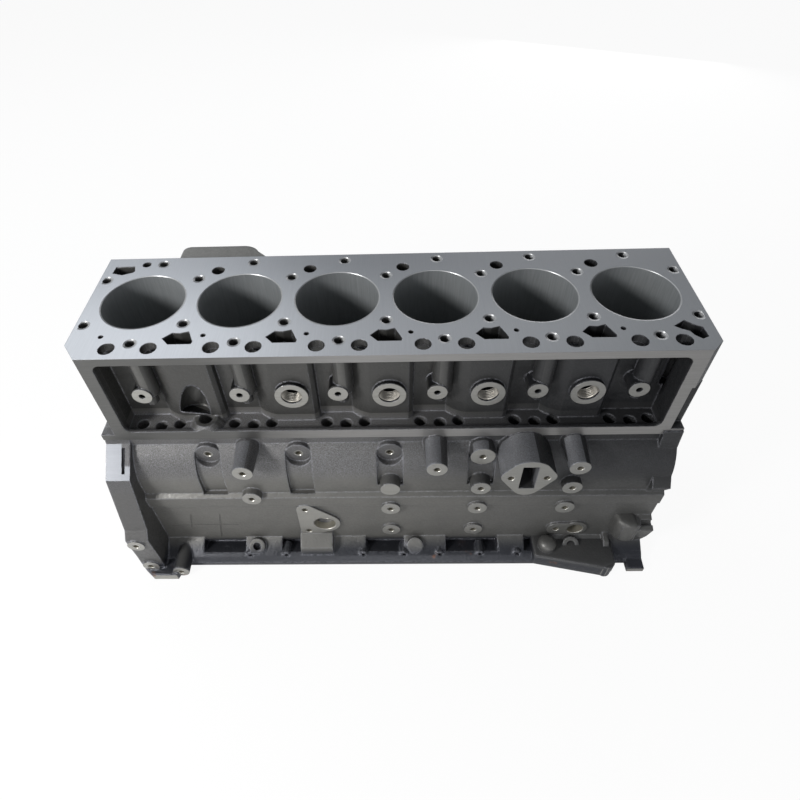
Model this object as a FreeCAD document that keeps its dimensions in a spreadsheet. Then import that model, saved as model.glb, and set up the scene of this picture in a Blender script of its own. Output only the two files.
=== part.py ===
import FreeCAD, Part
import math
import os
import re
import Sketcher

# Bare in-line six cylinder block with its bearing caps and plugs.
# Frame: X runs along the crankshaft from the front (gear) face, Y = 0 is the plane of the
# cylinder bores with the camshaft side at -Y, Z = 0 is the crankshaft axis, +Z is up.

Vector = FreeCAD.Vector
Rotation = FreeCAD.Rotation

SIZES = [
    # overall
    ("deck_height", 323, "crankshaft axis to head face"),
    ("rail_drop", 60, "crankshaft axis down to oil pan face"),
    ("cylinders", 6, "number of cylinders"),
    ("pitch", 120, "cylinder to cylinder"),
    ("first_bore", 70, "front face to first cylinder"),
    ("last_wall", 70, "last cylinder to rear face"),
    ("bore", 102, "cylinder bore"),
    ("front_wall", 102, "bore plane to tappet cover face"),
    ("rear_wall", 91, "bore plane to exhaust side wall"),
    # camshaft side outline
    ("flange_foot", 177, "foot of the tappet cover face above crankshaft axis"),
    ("neck_wall", 99, "wall just under the tappet cover face"),
    ("neck_foot", 163, "start of the camshaft bulge above crankshaft axis"),
    ("cam_wall", 125, "outside of the camshaft bulge"),
    ("cam_height", 107, "camshaft axis above crankshaft axis"),
    ("cam_bulge", 74, "radius of the bulge over the camshaft"),
    ("ridge_wall", 131, "outside of the ridge"),
    ("ridge_top", 81, "top of the ridge"),
    ("ridge_foot", 60, "foot of the ridge"),
    ("skirt_wall", 128, "camshaft side skirt"),
    ("skirt_foot", 30, "crankshaft axis down to the flare of the skirt"),
    ("flare_foot", 46, "crankshaft axis down to the edge of the rail"),
    ("pocket_wall", 122, "bore plane to the back of a skirt pocket"),
    ("pocket_top", 40, "crankshaft axis down to the top of a skirt pocket"),
    ("pocket_reach", 147, "bore plane to the outside of a skirt pocket"),
    ("front_rail", 159, "camshaft side edge of oil pan face"),
    ("back_skirt", 120, "exhaust side skirt"),
    ("back_step", 150, "height where the exhaust side steps out"),
    ("back_rail", 142, "exhaust side edge of oil pan face"),
    ("rail_thick", 14, "thickness of the oil pan rail"),
    # tappet chamber
    ("chamber_left", 34, "front face to tappet chamber"),
    ("chamber_right", 709, "front face to far end of tappet chamber"),
    ("chamber_roof", 11, "head face to chamber roof"),
    ("chamber_sill", 131, "head face to sill of the opening"),
    ("chamber_floor", 135, "head face to chamber floor"),
    ("chamber_back", 68, "bore plane to chamber back wall"),
    ("chamber_round", 10, "corner radius of the opening"),
    ("sill_wall", 5, "wall behind the sill"),
    ("column", 24, "diameter of a bolt column"),
    ("column_tip", 15, "diameter of the tip under a bolt column"),
    ("column_tip_drop", 98, "head face to the foot of a column tip"),
    ("panel_face", 81, "bore plane to a jacket panel"),
    ("panel_half", 24, "half width of a jacket panel"),
    ("panel_shift", 62, "cylinder axis to jacket panel middle"),
    ("cover_boss", 24.5, "cover screw boss"),
    ("cover_boss_face", 91, "bore plane to face of cover screw boss"),
    ("cover_boss_drop", 75, "head face to cover screw axis"),
    ("cover_screw", 8, "cover screw hole"),
    ("port_boss", 41.5, "threaded port boss"),
    ("port_face", 87.5, "bore plane to threaded port face"),
    ("port_drop", 82.6, "head face to threaded port axis"),
    ("port_bore", 26, "threaded port"),
    ("tappet_bore", 16, "tappet bore"),
    ("tappet_line", 85, "bore plane to tappet axes"),
    ("drain_line", 88, "bore plane to drain holes"),
    ("drain_boss", 30, "top of the raised boss round the large drain"),
    ("drain_boss_tall", 11, "height of the boss round the large drain"),
    ("drain_draft", 14, "how much wider that boss is at its foot"),
    ("scoop", 38, "diameter of the scoop behind the large drain"),
    ("scoop_long", 50, "length of the scoop"),
    ("drain_hole", 18.5, "large drain hole"),
    ("drain_x", 136, "front face to large drain"),
    # crankcase
    ("main_bore", 88, "crankshaft bearing bore"),
    ("bulkhead", 26, "thickness of a bulkhead"),
    ("bay_front", 117, "bore plane to inside of camshaft side skirt"),
    ("bay_back", 111, "bore plane to inside of exhaust side skirt"),
    ("bay_roof", 112, "crankshaft axis to crankcase roof"),
    ("bay_round", 45, "size of the crankcase roof corners"),
    ("cam_bore", 54, "camshaft bore"),
    ("cam_bush", 59, "bore for the camshaft bushing"),
    ("cam_bush_deep", 22, "depth of the bushing bore"),
    ("cam_plug", 58, "bore for the camshaft plug"),
    ("cam_plug_deep", 12, "depth of the camshaft plug bore"),
    ("cam_line", 85, "bore plane to camshaft axis"),
    ("cam_tunnel", 62, "cored camshaft tunnel"),
    # bearing caps
    ("cap_half", 75, "half width of a bearing cap"),
    ("cap_drop", 58, "height of a bearing cap"),
    ("cap_foot", 46, "half width of a cap at its foot"),
    ("cap_seat", 34, "split line down to the bolt seats"),
    ("cap_notch", 6, "depth of the cap register"),
    ("cap_bolt_line", 60, "bore plane to cap bolt axes"),
    ("cap_bolt", 14, "cap bolt"),
    ("cap_bolt_hole", 15, "clearance hole in a cap"),
    ("cap_bolt_grip", 55, "depth of a cap bolt above the split"),
    ("bolt_head", 22, "across the corners of a cap bolt head"),
    ("bolt_head_tall", 10, "height of a cap bolt head"),
    ("fit", 0.1, "clearance at fitted pieces"),
    # head face
    ("head_bolt", 11.5, "head bolt hole"),
    ("head_bolt_deep", 65, "depth of head bolt holes"),
    ("outer_bolt_line", 77, "bore plane to outer head bolts"),
    ("inner_bolt_line", 43.5, "bore plane to inner head bolts"),
    ("outer_bolt_shift", 6, "outer head bolts behind the cylinder axis"),
    ("pushrod_hole", 19.5, "pushrod hole"),
    ("pushrod_shift_1", 19, "first pushrod ahead of the cylinder axis"),
    ("pushrod_shift_2", 29.5, "second pushrod behind the cylinder axis"),
    ("coolant_hole", 17, "round coolant hole"),
    ("coolant_shift", 81.5, "round coolant hole behind the cylinder axis"),
    ("coolant_line", 61, "bore plane to round coolant holes"),
    ("coolant_deep", 90, "depth of coolant openings"),
    ("oil_hole", 6.5, "oil hole in the head face"),
    ("oil_shift", 32, "oil hole ahead of the cylinder axis"),
    ("oil_line", 64.5, "bore plane to oil holes"),
    # camshaft side bosses
    ("boss", 26, "small boss"),
    ("boss_draft", 0.12, "widening of a boss for each millimetre of its length"),
    ("boss_screw", 8, "screw hole in a small boss"),
    ("boss_screw_deep", 22, "depth of a boss screw hole"),
    ("long_boss_face", 145, "bore plane to long bosses"),
    ("mid_boss_face", 135, "bore plane to middle bosses"),
    ("low_boss_face", 132, "bore plane to low bosses"),
    ("boss_root", 95, "bore plane to the root of every boss"),
    ("first_column", 371, "front face to first boss column"),
    ("mid_boss_height", 106, "middle bosses above crankshaft axis"),
    ("ridge_boss_height", 57, "ridge bosses above crankshaft axis"),
    ("low_boss_drop", 6, "low bosses below crankshaft axis"),
    ("channel", 34, "width of a channel in the bulge"),
    ("channel_deep", 6, "depth of a channel"),
    ("channel_foot", 84, "foot of a long channel above crankshaft axis"),
    ("channel_half", 102, "foot of a short channel above crankshaft axis"),
    ("first_channel", 131, "front face to first channel"),
    ("pad_face", 106, "bore plane to the face at the head of a channel"),
    ("pad_axis", 150, "screw at the head of a channel above crankshaft axis"),
    ("sender_boss", 32, "sender boss"),
    ("sender_face", 118, "bore plane to the sender boss face"),
    ("sender_height", 154, "sender boss above crankshaft axis"),
    ("knob", 14, "small boss on the rail"),
    ("knob_face", 151, "bore plane to the face of a rail boss"),
    ("knob_screw", 6, "screw hole in a rail boss"),
    ("slanted_boss", 24, "boss that leans up from the rail"),
    ("slanted_hole", 12, "hole in a slanted boss"),
    ("foot_boss", 24, "boss on the front foot"),
    ("bracket_left", 236, "front face to the raised block on the skirt"),
    ("bracket_wide", 48, "width of the raised block on the skirt"),
    ("pump_x", 544.5, "front face to lift pump axis"),
    ("pump_z", 152, "lift pump axis above crankshaft axis"),
    ("pump_face", 150, "bore plane to lift pump face"),
    ("pump_screw_half", 22.3, "lift pump axis to its screws"),
    ("pump_slot", 20, "width of the lift pump slot"),
    ("pump_slot_tall", 46, "height of the lift pump slot"),
    ("pump_cap", 30, "radius at the top of the lift pump face"),
    # ends
    ("front_flange", 32, "thickness of the front flange"),
    ("rear_flange", 24, "thickness of the rear flange"),
    ("foot_face", 181, "bore plane to the front foot"),
    ("foot_tall", 12, "height of the front foot"),
    ("end_screw_deep", 16, "depth of screw holes in the end faces"),
    ("rail_screw_deep", 10, "depth of screw holes in the oil pan face"),
    # oil cooler housing
    ("cooler_left", 14, "front face to oil cooler housing"),
    ("cooler_right", 345, "front face to far end of oil cooler housing"),
    ("cooler_face", 127, "bore plane to oil cooler face"),
    ("cooler_foot", 96, "foot of oil cooler housing above crankshaft axis"),
    ("cooler_top", 262, "top of oil cooler housing above crankshaft axis"),
    ("cooler_wall", 13, "wall of oil cooler housing"),
    ("cooler_floor", 76, "bore plane to floor of oil cooler cavity"),
    ("hump_left", 88, "front face to the hump"),
    ("hump_right", 215, "front face to far end of the hump"),
    ("hump_top", 316, "top of the hump above crankshaft axis"),
    # exhaust side
    ("gallery_ridge", 30, "ridge along the oil gallery"),
    ("gallery_line", 112, "bore plane to the oil gallery"),
    ("gallery_height", 84, "oil gallery above crankshaft axis"),
    ("gallery_plug", 20, "bore for a gallery plug"),
    ("gallery_plug_deep", 12, "depth of a gallery plug bore"),
    ("mount_face", 129, "bore plane to the engine mount pads"),
    ("mount_wide", 84, "width of an engine mount pad"),
    ("mount_tall", 66, "height of an engine mount pad"),
    ("mount_screw", 12, "screw hole in an engine mount pad"),
    ("outlet_face", 100, "bore plane to the jacket outlet boss"),
    ("outlet_height", 172, "jacket outlet above crankshaft axis"),
    ("outlet_bore", 18, "bore of the jacket outlet"),
    # plugs
    ("core_plug", 58, "jacket core plug"),
    ("core_plug_deep", 14, "depth of a core plug bore"),
    ("cup_wall", 2, "wall of a cup plug"),
    ("core_plug_height", 225, "core plugs above crankshaft axis"),
    ("rear_plug_line", 40, "bore plane to the core plug of the rear face"),
]

# How each outline plane lies in space: its turn, and the axis that it is pushed along.
PLANES = {
    "xy": (Rotation(), "z"),
    "xz": (Rotation(Vector(1, 0, 0), 90), "y"),
    "yz": (Rotation(Vector(1, 1, 1), 120), "x"),
}
ALONG = {
    "x": Rotation(Vector(0, 1, 0), 90),
    "y": Rotation(Vector(1, 0, 0), -90),
    "z": Rotation(),
    "slant": Rotation(Vector(1, 0, 0), 45),
    "scoop": Rotation(Vector(0, 0, 1), Vector(0.15, 0.33, 0.93)),
}

doc = FreeCAD.newDocument("EngineBlock")
sheet = doc.addObject("Spreadsheet::Sheet", "Sizes")
for row, (alias, value, note) in enumerate(SIZES, 1):
    sheet.set(f"A{row}", note)
    sheet.set(f"B{row}", str(value))
    sheet.setAlias(f"B{row}", alias)
doc.recompute()

WORDS = re.compile(r"\b(" + "|".join(size[0] for size in SIZES) + r")\b")
COUNT = int(sheet.get("cylinders"))
SCREW_SIDES = 10
DRILL_SIDES = 14
CUP_SIDES = 24
LENGTH = f"(first_bore + pitch * {COUNT - 1} + last_wall)"


def linked(text):
    """The expression with every size read from the sheet."""
    return WORDS.sub(r"Sizes.\1", str(text))


def bind(obj, prop, text):
    obj.setExpression(prop, linked(text))


def value(obj, text):
    found = obj.evalExpression(linked(text))
    return float(getattr(found, "Value", found))


def place(obj, x, y, z, turn=Rotation()):
    obj.Placement = FreeCAD.Placement(Vector(), turn)
    for axis, text in zip("xyz", (x, y, z)):
        bind(obj, f"Placement.Base.{axis}", text)
    return obj


def rod(name, diameter, length, x, y, z, along="z", sides=0):
    """A round bar or hole that starts at (x, y, z) and runs along one axis. Where sides are given
    it is a regular prism, which keeps small or hidden round pieces light."""
    obj = doc.addObject("Part::Prism" if sides else "Part::Cylinder", name)
    if sides:
        obj.Polygon = sides
        bind(obj, "Circumradius", f"({diameter}) / 2")
    else:
        bind(obj, "Radius", f"({diameter}) / 2")
    bind(obj, "Height", length)
    return place(obj, x, y, z, ALONG[along])


def cone(name, first, last, length, x, y, z, along="z"):
    """A round bar whose diameter changes from first to last."""
    obj = doc.addObject("Part::Cone", name)
    bind(obj, "Radius1", f"({first}) / 2")
    bind(obj, "Radius2", f"({last}) / 2")
    bind(obj, "Height", length)
    return place(obj, x, y, z, ALONG[along])


def slab(name, x, y, z, dx, dy, dz):
    """A block with its lowest corner at (x, y, z)."""
    obj = doc.addObject("Part::Box", name)
    bind(obj, "Length", dx)
    bind(obj, "Width", dy)
    bind(obj, "Height", dz)
    return place(obj, x, y, z)


def outline(name, plane, points):
    """A closed outline of points (u, v) or (u, v, radius). A radius makes the way to the next
    point an arc, turning left where it is positive and right where it is negative."""
    obj = doc.addObject("Sketcher::SketchObject", name)
    spots = [Vector(value(obj, p[0]), value(obj, p[1]), 0) for p in points]
    count = len(points)
    ends = []
    for k, point in enumerate(points):
        start, end = spots[k], spots[(k + 1) % count]
        if len(point) == 2:
            obj.addGeometry(Part.LineSegment(start, end))
            ends.append((1, 2))
            continue
        radius = value(obj, point[2])
        chord = end - start
        side = Vector(-chord.y, chord.x, 0).normalize() * math.copysign(1, radius)
        rise = math.sqrt(max(radius ** 2 - chord.Length ** 2 / 4, 0))
        centre = (start + end) * 0.5 + side * rise
        angles = [math.atan2(spot.y - centre.y, spot.x - centre.x) for spot in (start, end)]
        ends.append((1, 2) if radius > 0 else (2, 1))
        if radius < 0:
            angles.reverse()
        circle = Part.Circle(centre, Vector(0, 0, 1), abs(radius))
        obj.addGeometry(Part.ArcOfCircle(circle, *angles))
    for k, point in enumerate(points):
        before = (k - 1) % count
        obj.addConstraint(Sketcher.Constraint("Coincident", before, ends[before][1], k, ends[k][0]))
        for kind, text, spot in (("DistanceX", point[0], spots[k].x), ("DistanceY", point[1], spots[k].y)):
            index = obj.addConstraint(Sketcher.Constraint(kind, -1, 1, k, ends[k][0], spot))
            bind(obj, f"Constraints[{index}]", text)
        if len(point) > 2:
            radius = value(obj, point[2])
            index = obj.addConstraint(Sketcher.Constraint("Radius", k, abs(radius)))
            bind(obj, f"Constraints[{index}]", f"abs({point[2]})")
    return obj


def prism(name, plane, start, length, points):
    """An outline pushed through a length. The xz plane is pushed towards -Y."""
    turn, axis = PLANES[plane]
    base = outline(name + "_outline", plane, points)
    base.Placement = FreeCAD.Placement(Vector(), turn)
    bind(base, f"Placement.Base.{axis}", start)
    obj = doc.addObject("Part::Extrusion", name)
    obj.Base = base
    obj.DirMode = "Normal"
    obj.Solid = True
    bind(obj, "LengthFwd", length)
    return obj


def fuse(name, pieces):
    obj = doc.addObject("Part::MultiFuse", name)
    obj.Shapes = pieces
    return obj


def cut(name, base, tool):
    obj = doc.addObject("Part::Cut", name)
    obj.Base = base
    obj.Tool = tool
    return obj


def group(name, pieces):
    obj = doc.addObject("Part::Compound", name)
    obj.Links = pieces
    return obj


def cylinder_x(index):
    return f"first_bore + pitch * {index}"


def bulkhead_x(index):
    """Front side of a bulkhead. The first and last are flush with the end faces."""
    if index == 0:
        return "0"
    if index == COUNT:
        return f"{LENGTH} - bulkhead"
    return f"first_bore + pitch * {index - 0.5} - bulkhead / 2"


# The casting: its outer walls, before anything is cored or drilled.
wall = prism("walls", "yz", "0", LENGTH, [
    ("-front_wall", "deck_height"),
    ("-front_wall", "flange_foot"),
    ("-neck_wall", "flange_foot"),
    ("-neck_wall", "neck_foot", "cam_bulge"),
    ("-cam_wall", "cam_height"),
    ("-cam_wall", "ridge_top + 5"),
    ("-ridge_wall", "ridge_top"),
    ("-ridge_wall", "ridge_foot"),
    ("-skirt_wall", "ridge_foot - 4"),
    ("-skirt_wall", "-skirt_foot"),
    ("-front_rail + rail_thick / 2", "-flare_foot"),
    ("-front_rail", "-rail_drop + rail_thick / 2"),
    ("-front_rail", "-rail_drop"),
    ("back_rail", "-rail_drop"),
    ("back_rail", "-rail_drop + rail_thick / 2"),
    ("back_rail - rail_thick / 2", "-rail_drop + rail_thick"),
    ("back_skirt", "-skirt_foot"),
    ("back_skirt", "cam_height"),
    ("rear_wall", "back_step"),
    ("rear_wall", "deck_height"),
])

front_end = prism("front_flange", "yz", "0", "front_flange", [
    ("-front_wall + 20", "flange_foot + 20"),
    ("-front_wall + 5", "flange_foot + 10"),
    ("-front_wall", "flange_foot - 8"),
    ("-front_wall - 37", "flange_foot - 39"),
    ("-front_rail - 1", "47"),
    ("-front_rail - 11", "35"),
    ("-front_rail - 9", "-10"),
    ("-front_rail - 9", "-rail_drop"),
    ("back_rail", "-rail_drop"),
    ("back_rail - 4", "20"),
    ("back_rail - 16", "cam_height"),
    ("rear_wall + 20", "back_step + 40"),
    ("rear_wall", "deck_height - 30"),
    ("0", "deck_height - 30"),
])

rear_end = prism("rear_flange", "yz", f"{LENGTH} - rear_flange", "rear_flange", [
    ("-front_wall - 2", "flange_foot + 6"),
    ("-front_wall - 6", "flange_foot - 26"),
    ("-cam_wall + 3", "cam_height + 12"),
    ("-cam_wall - 10", "cam_height - 5"),
    ("-cam_wall - 1", "cam_height - 23"),
    ("-cam_wall", "28"),
    ("-skirt_wall - 20", "16"),
    ("-skirt_wall - 14", "-11"),
    ("-skirt_wall - 2", "-47"),
    ("-front_rail - 13", "-rail_drop + 8"),
    ("-front_rail - 13", "-rail_drop"),
    ("back_rail", "-rail_drop"),
    ("back_rail - 8", "-20"),
    ("back_rail", "30"),
    ("back_rail - 6", "cam_height"),
    ("rear_wall + 24", "back_step + 20"),
    ("rear_wall + 8", "deck_height - 70"),
    ("rear_wall", "deck_height - 40"),
])

cooler = slab("cooler_housing", "cooler_left", "0", "cooler_foot", "cooler_right - cooler_left",
              "cooler_face", "cooler_top - cooler_foot")
hump = prism("hump", "xy", "cooler_foot", "hump_top - cooler_foot", [
    ("hump_left", "0"),
    ("hump_right", "0"),
    ("hump_right", "rear_wall + 2"),
    ("hump_right - 20", "cooler_face - 14", "24"),
    ("hump_right - 44", "cooler_face"),
    ("hump_left + 12", "cooler_face", "10"),
    ("hump_left + 2", "cooler_face - 10"),
])

front_foot = prism("front_foot", "xy", "-rail_drop", "foot_tall", [
    ("0", "-front_rail + 30"),
    ("0", "-front_rail - 9"),
    ("16", "-foot_face"),
    ("52", "-foot_face"),
    ("60", "-front_rail"),
    ("60", "-front_rail + 30"),
])
rear_bulge = prism("rear_bulge", "xy", "-rail_drop", "rail_thick + 12", [
    ("582", "-front_rail + 20"),
    ("582", "-front_rail"),
    ("676", "-front_rail - 19", "10"),
    ("692", "-front_rail - 12"),
    ("696", "-front_rail + 20"),
])
rear_barrel = rod("rear_barrel", "26", "rail_drop - 26", "600", "-front_rail + 15", "-rail_drop")
rear_rib = prism("rear_rib", "yz", "683", "8", [
    ("-skirt_wall + 8", "-rail_drop"),
    ("-skirt_wall + 8", "-20"),
    ("-skirt_wall - 13", "-28"),
    ("-front_rail - 12", "-rail_drop"),
])
rear_ear = prism("rear_ear", "xy", "-14", "40", [
    ("688", "-skirt_wall + 8"),
    ("694", "-skirt_wall - 12"),
    ("704", "-skirt_wall - 19"),
    (f"{LENGTH} - rear_flange + 4", "-skirt_wall - 19"),
    (f"{LENGTH} - rear_flange + 4", "-skirt_wall + 8"),
])
bracket = prism("bracket", "yz", "bracket_left", "bracket_wide", [
    ("-pocket_wall", "-rail_drop"),
    ("-pocket_wall", "-12"),
    ("-skirt_wall - 4", "-14"),
    ("-pocket_reach - 2", "-28"),
    ("-pocket_reach - 5", "-rail_drop"),
])


def pump_points(grow):
    """Outline of the lift pump face, made larger all round by grow."""
    return [
        ("pump_x + 20 + " + grow, "pump_z + 26 + " + grow, "pump_cap"),
        ("pump_x - 20 - " + grow, "pump_z + 26 + " + grow),
        ("pump_x - 33 - " + grow, "pump_z + 8", "12"),
        ("pump_x - 33 - " + grow, "pump_z - 4"),
        ("pump_x - 14 - " + grow, "pump_z - 31", "18"),
        ("pump_x + 14 + " + grow, "pump_z - 31"),
        ("pump_x + 33 + " + grow, "pump_z - 4", "12"),
        ("pump_x + 33 + " + grow, "pump_z + 8"),
    ]


pump_tower = prism("pump_tower", "xz", "-boss_root", "pump_face - boss_root", pump_points("0"))

# Bosses of the camshaft side as (name, diameter, x, z, face).
BOSSES = [
    ("long_boss_1", "boss", "185", "160", "long_boss_face"),
    ("long_boss_2", "boss", "430", "165", "long_boss_face"),
    ("long_boss_3", "boss", "606.5", "165", "long_boss_face"),
    ("mid_boss_1", "boss", "181.6", "85", "mid_boss_face"),
    ("mid_boss_2", "boss", "first_column", "mid_boss_height", "mid_boss_face"),
    ("mid_boss_3", "boss", "first_column + pitch", "mid_boss_height", "mid_boss_face"),
    ("mid_boss_4", "boss", "first_column + 2 * pitch", "mid_boss_height", "mid_boss_face"),
    ("sender_boss", "sender_boss", "first_column + pitch", "sender_height", "sender_face"),
]
for number in range(3):
    column = f"first_column + {number} * pitch"
    BOSSES.append((f"ridge_boss_{number + 1}", "boss", column, "ridge_boss_height", "mid_boss_face"))
    BOSSES.append((f"low_boss_{number + 1}", "boss", column, "-low_boss_drop", "low_boss_face"))
UNDRILLED = "mid_boss_2"
bosses = [
    cone(name, diameter, f"{diameter} + boss_draft * ({face} - boss_root)", f"{face} - boss_root", x,
         f"-{face}", z, "y")
    for name, diameter, x, z, face in BOSSES
]
bosses.append(rod("gallery_boss", "34", "low_boss_face - boss_root", "638.5", "-low_boss_face",
                  "-low_boss_drop", "y"))
bosses.append(slab("gallery_web", "611", "-low_boss_face", "-low_boss_drop - 14", "28",
                   "low_boss_face - boss_root", "28"))

# Bosses of the front foot as (x, z, face, length).
FOOT_BOSSES = [("12", "24", "172", "20"), ("14", "-39", "171", "20"), ("58", "-47", "176", "50")]
for number, (x, z, face, length) in enumerate(FOOT_BOSSES, 1):
    bosses.append(rod(f"foot_boss_{number}", "foot_boss", length, x, f"-{face}", z, "y"))

# Small bosses along the rail, and the ones that lean up from it.
KNOBS = [158, 213, 329, 390, 443, 503, 558]
for number, x in enumerate(KNOBS, 1):
    bosses.append(rod(f"knob_{number}", "knob", "20", x, "-knob_face", "-flare_foot", "y", SCREW_SIDES))
SLANTED = [169, 406, 636]
for number, x in enumerate(SLANTED, 1):
    bosses.append(rod(f"slanted_boss_{number}", "slanted_boss", "20", x, "-skirt_wall - 1",
                      "-flare_foot - 1", "slant"))

# Three-cornered face with its large hole.
corner_flange = prism("corner_flange", "xz", "-boss_root", "low_boss_face - boss_root", [
    ("238", "-8", "13"),
    ("252", "-19"),
    ("283", "-7", "23"),
    ("290", "31"),
    ("257", "61", "12"),
    ("238", "52"),
])

# Channels down the camshaft bulge, each below a flat face with a screw hole.
channel_heads = []
channels = []
for number in range(4):
    x = f"first_channel + {number} * pitch"
    foot = "channel_foot" if number < 2 else "channel_half"
    channel_heads.append(rod(f"channel_head_{number + 1}", "channel", "pad_face - boss_root", x,
                             "-pad_face", "pad_axis", "y"))
    channels.append(fuse(f"channel_{number + 1}", [
        rod(f"channel_top_{number + 1}", "channel", "20", x, "-pad_face - 20", "pad_axis", "y"),
        prism(f"channel_run_{number + 1}", "yz", f"{x} - channel / 2", "channel", [
            ("-pad_face", "pad_axis", "cam_bulge - channel_deep"),
            ("-cam_wall + channel_deep", "cam_height"),
            ("-cam_wall + channel_deep", foot),
            ("-pad_face - 20", foot),
            ("-pad_face - 20", "pad_axis"),
        ]),
    ]))

# Pockets in the foot of the skirt as (x, length).
POCKETS = [(87, 64), (206, 32), (332, 58), (452, 77), (568, 40)]
pockets = [
    prism(f"pocket_{number}", "yz", x, length, [
        ("-pocket_wall", "-pocket_top"),
        ("-pocket_wall", "-pocket_top - 12"),
        ("-pocket_reach", "-flare_foot + 2"),
        ("-pocket_reach", "-skirt_foot + 2"),
        ("-skirt_wall", "-skirt_foot + 2"),
        ("-skirt_wall", "-pocket_top"),
    ])
    for number, (x, length) in enumerate(POCKETS, 1)
]

# Exhaust side: ridge of the oil gallery, engine mount pads and jacket outlet.
gallery = rod("gallery_ridge", "gallery_ridge", f"{LENGTH} - 20", "10", "gallery_line", "gallery_height", "x")
MOUNT_PADS = [150, 470]
exhaust_side = [
    slab(f"mount_pad_{number}", x, "back_skirt - 6", "-10", "mount_wide", "mount_face - back_skirt + 6",
         "mount_tall")
    for number, x in enumerate(MOUNT_PADS, 1)
]
exhaust_side.append(rod("outlet_boss", "34", "outlet_face - rear_wall + 6", f"{cylinder_x(COUNT - 1)}",
                        "rear_wall - 6", "outlet_height", "y"))

shell = fuse("shell", [wall, gallery] + channel_heads)
scooped = cut("scooped_shell", shell, group("scoops", channels + pockets))
casting = fuse("casting", [scooped, front_end, rear_end, cooler, hump, front_foot, rear_bulge, rear_barrel,
                           rear_rib, rear_ear, bracket, pump_tower, corner_flange] + bosses + exhaust_side)

# What the core boxes leave open.
chamber = prism("chamber", "xz", "-chamber_back", "front_wall - chamber_back + 1", [
    ("chamber_left + chamber_round", "deck_height - chamber_sill"),
    ("chamber_right - chamber_round", "deck_height - chamber_sill", "chamber_round"),
    ("chamber_right", "deck_height - chamber_sill + chamber_round"),
    ("chamber_right", "deck_height - chamber_roof - chamber_round", "chamber_round"),
    ("chamber_right - chamber_round", "deck_height - chamber_roof"),
    ("chamber_left + chamber_round", "deck_height - chamber_roof", "chamber_round"),
    ("chamber_left", "deck_height - chamber_roof - chamber_round"),
    ("chamber_left", "deck_height - chamber_sill + chamber_round", "chamber_round"),
])
well = slab("chamber_well", "chamber_left", "-front_wall + sill_wall", "deck_height - chamber_floor",
            "chamber_right - chamber_left", "front_wall - sill_wall - chamber_back",
            "chamber_floor - chamber_sill + 20")
kept = []
for index in range(COUNT):
    x = f"{cylinder_x(index)} + outer_bolt_shift"
    kept.append(rod(f"bolt_column_{index + 1}", "column", "cover_boss_drop + 5", x, "-outer_bolt_line",
                    "deck_height - cover_boss_drop - 5", sides=CUP_SIDES))
    kept.append(rod(f"column_tip_{index + 1}", "column_tip", "column_tip_drop - cover_boss_drop",
                    f"{x} - 2", "-outer_bolt_line", "deck_height - column_tip_drop", sides=SCREW_SIDES))
    kept.append(rod(f"cover_boss_{index + 1}", "cover_boss", "cover_boss_face - chamber_back",
                    cylinder_x(index), "-cover_boss_face", "deck_height - cover_boss_drop", "y", CUP_SIDES))
for index in range(COUNT - 1):
    x = f"{cylinder_x(index)} + panel_shift"
    kept.append(prism(f"panel_{index + 1}", "xy", "deck_height - chamber_floor", "chamber_floor", [
        (f"{x} - 2 * panel_half", "-chamber_back", "panel_half + 20"),
        (f"{x} - panel_half", "-panel_face"),
        (f"{x} + panel_half", "-panel_face"),
        (f"{x} + panel_half + 5", "-panel_face + 4"),
        (f"{x} + panel_half + 6", "-chamber_back + 1"),
        (f"{x} - 2 * panel_half", "-chamber_back + 1"),
    ]))
    if index > 0:
        kept.append(rod(f"port_boss_{index + 1}", "port_boss", "port_face - chamber_back", x,
                        "-port_face", "deck_height - port_drop", "y"))
kept.append(cone("drain_boss", "drain_boss + drain_draft", "drain_boss", "drain_boss_tall", "drain_x",
                 "-tappet_line", "deck_height - chamber_floor"))
chamber_cut = cut("chamber_cut", fuse("chamber_room", [chamber, well]), fuse("chamber_kept", kept))
scoop = rod("scoop", "scoop", "scoop_long", "drain_x - 13", "-panel_face + 2",
            "deck_height - chamber_floor + 16", "scoop")
chamber_void = fuse("chamber_void", [chamber_cut, scoop])

BAY = [
    ("bay_back", "bay_roof - bay_round"),
    ("bay_back - 0.3 * bay_round", "bay_roof - 0.3 * bay_round"),
    ("bay_back - bay_round", "bay_roof"),
    ("-bay_front + bay_round", "bay_roof"),
    ("-bay_front + 0.3 * bay_round", "bay_roof - 0.3 * bay_round"),
    ("-bay_front", "bay_roof - bay_round"),
    ("-bay_front", "-rail_drop - 1"),
    ("bay_back", "-rail_drop - 1"),
]
bays = []
for index in range(COUNT):
    start = f"{bulkhead_x(index)} + bulkhead"
    length = f"{bulkhead_x(index + 1)} - ({bulkhead_x(index)}) - bulkhead"
    bays.append(fuse(f"bay_room_{index + 1}", [
        prism(f"bay_{index + 1}", "yz", start, length, BAY),
        rod(f"cam_tunnel_{index + 1}", "cam_tunnel", length, start, "-cam_line", "cam_height", "x",
            CUP_SIDES),
    ]))
cap_room = prism("cap_room", "yz", "-1", f"{LENGTH} + 2", [
    ("-cap_half - fit", "0"),
    ("-cap_half - fit", "-cap_notch"),
    ("-cap_half - 5", "-cap_notch - 8"),
    ("-cap_half - 30", "-rail_drop - 1"),
    ("cap_half + 30", "-rail_drop - 1"),
    ("cap_half + 5", "-cap_notch - 8"),
    ("cap_half + fit", "-cap_notch"),
    ("cap_half + fit", "0"),
])
cooler_room = slab("cooler_room", "cooler_left + cooler_wall", "cooler_floor",
                   "cooler_foot + cooler_wall", "cooler_right - cooler_left - 2 * cooler_wall",
                   "cooler_face - cooler_floor + 1", "cooler_top - cooler_foot - 2 * cooler_wall")
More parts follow.
